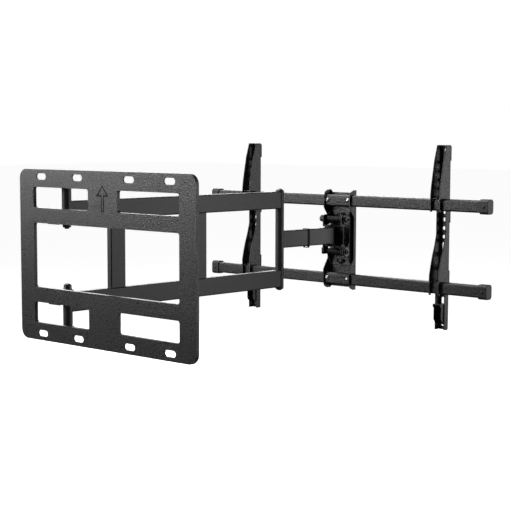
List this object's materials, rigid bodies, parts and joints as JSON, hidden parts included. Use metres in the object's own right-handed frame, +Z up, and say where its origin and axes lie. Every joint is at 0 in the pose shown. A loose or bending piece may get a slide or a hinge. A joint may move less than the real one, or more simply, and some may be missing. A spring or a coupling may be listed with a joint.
{
  "type": "full motion television wall mount",
  "caption": "Full-motion television wall mount: windowed wall plate, long rectangular-frame arm, short outer arm, swivel and tilt head, and sliding brackets on two cross rails.",
  "frame": {"origin": "centre of the wall plate on its wall face", "axes": "+X to the right along the wall, +Y from the wall into the room, +Z up"},
  "size_m": [0.872, 0.9246, 0.447],
  "materials": {
    "grain_black": "fine-grain black powder coat",
    "smooth_black": "smooth satin black powder coat",
    "bracket_black": "fine-texture satin black powder coat",
    "zinc_steel": "bright zinc plate",
    "black_steel": "black oxide",
    "black_plastic": "moulded black plastic",
    "nylon": "black nylon",
    "pad_rubber": "matt rubber"
  },
  "bodies": {
    "wall_frame": {"wall_plate": "grain_black", "upper_hinge_bottom_lug": "grain_black", "upper_hinge_top_lug": "grain_black", "lower_hinge_top_lug": "grain_black", "lower_hinge_bottom_lug": "grain_black", "wall_hinge_bolts": "black_steel", "wall_hinge_nuts": "black_steel", "wall_hinge_washers": "nylon"},
    "inner_arm": {"inner_arm_upper_tube": "smooth_black", "inner_arm_lower_tube": "smooth_black", "near_strut": "smooth_black", "far_strut": "smooth_black", "upper_wall_barrel": "smooth_black", "lower_wall_barrel": "smooth_black", "upper_elbow_barrel": "smooth_black", "lower_elbow_barrel": "smooth_black", "wall_hinge_bushes": "nylon", "elbow_pin": "zinc_steel", "elbow_caps": "black_steel", "elbow_washers": "nylon"},
    "outer_arm": {"outer_arm_tube": "smooth_black", "middle_elbow_barrel": "smooth_black", "elbow_bushes": "nylon", "outer_arm_end": "smooth_black", "swivel_bush": "nylon", "cable_clip": "black_plastic"},
    "swivel": {"swivel_bracket": "bracket_black", "swivel_bolt": "black_steel", "swivel_nut": "zinc_steel", "swivel_washers": "nylon", "tilt_pivot_bolt": "black_steel", "tilt_pivot_nut": "black_steel", "tilt_clamp_bolt": "black_steel", "tilt_clamp_nut": "black_steel"},
    "tilt": {"tilt_bracket": "bracket_black", "level_pivot_bolt": "black_steel", "level_pivot_nut": "black_steel"},
    "head": {"head_channel": "bracket_black", "level_clamp_bolts": "black_steel", "upper_rail": "bracket_black", "lower_rail": "bracket_black", "rail_screws": "zinc_steel", "upper_rail_right_cap": "black_plastic", "lower_rail_right_cap": "black_plastic", "upper_rail_left_cap": "black_plastic", "lower_rail_left_cap": "black_plastic", "end_cap_screws": "black_steel"},
    "left_bracket": {"left_tv_bracket": "bracket_black", "left_tv_pads": "pad_rubber"},
    "right_bracket": {"right_tv_bracket": "bracket_black", "right_tv_pads": "pad_rubber"},
    "left_lock": {"left_lock_slider": "bracket_black", "left_lock_screw": "black_steel"},
    "right_lock": {"right_lock_slider": "bracket_black", "right_lock_screw": "black_steel"}
  },
  "joints": [
    {"name": "wall_swing", "type": "hinge", "parent": "wall_frame", "child": "inner_arm", "pos_m": [-0.159, 0.045, 0], "axis": [0, 0, 1], "range_deg": [-85.5, 90]},
    {"name": "elbow_swing", "type": "hinge", "parent": "inner_arm", "child": "outer_arm", "pos_m": [-0.10919, 0.67784, 0], "axis": [0, 0, -1], "range_deg": [-108, 108]},
    {"name": "head_swivel", "type": "hinge", "parent": "outer_arm", "child": "swivel", "pos_m": [-0.088, 0.8556, 0], "axis": [0, 0, 1], "range_deg": [-75, 75]},
    {"name": "head_tilt", "type": "hinge", "parent": "swivel", "child": "tilt", "pos_m": [-0.088, 0.875, 0.037], "axis": [1, 0, 0], "range_deg": [-10, 5]},
    {"name": "head_level", "type": "hinge", "parent": "tilt", "child": "head", "pos_m": [-0.088, 0.9036, -0.0162], "axis": [0, 1, 0], "range_deg": [-3, 3]},
    {"name": "left_bracket_slide", "type": "slide", "parent": "head", "child": "left_bracket", "axis": [1, 0, 0], "range_m": [-0.075, 0.2]},
    {"name": "right_bracket_slide", "type": "slide", "parent": "head", "child": "right_bracket", "axis": [-1, 0, 0], "range_m": [-0.075, 0.2]},
    {"name": "left_lock_slide", "type": "slide", "parent": "left_bracket", "child": "left_lock", "axis": [0, 0, 1], "range_m": [0, 0.0235]},
    {"name": "right_lock_slide", "type": "slide", "parent": "right_bracket", "child": "right_lock", "axis": [0, 0, 1], "range_m": [0, 0.0235]}
  ]
}
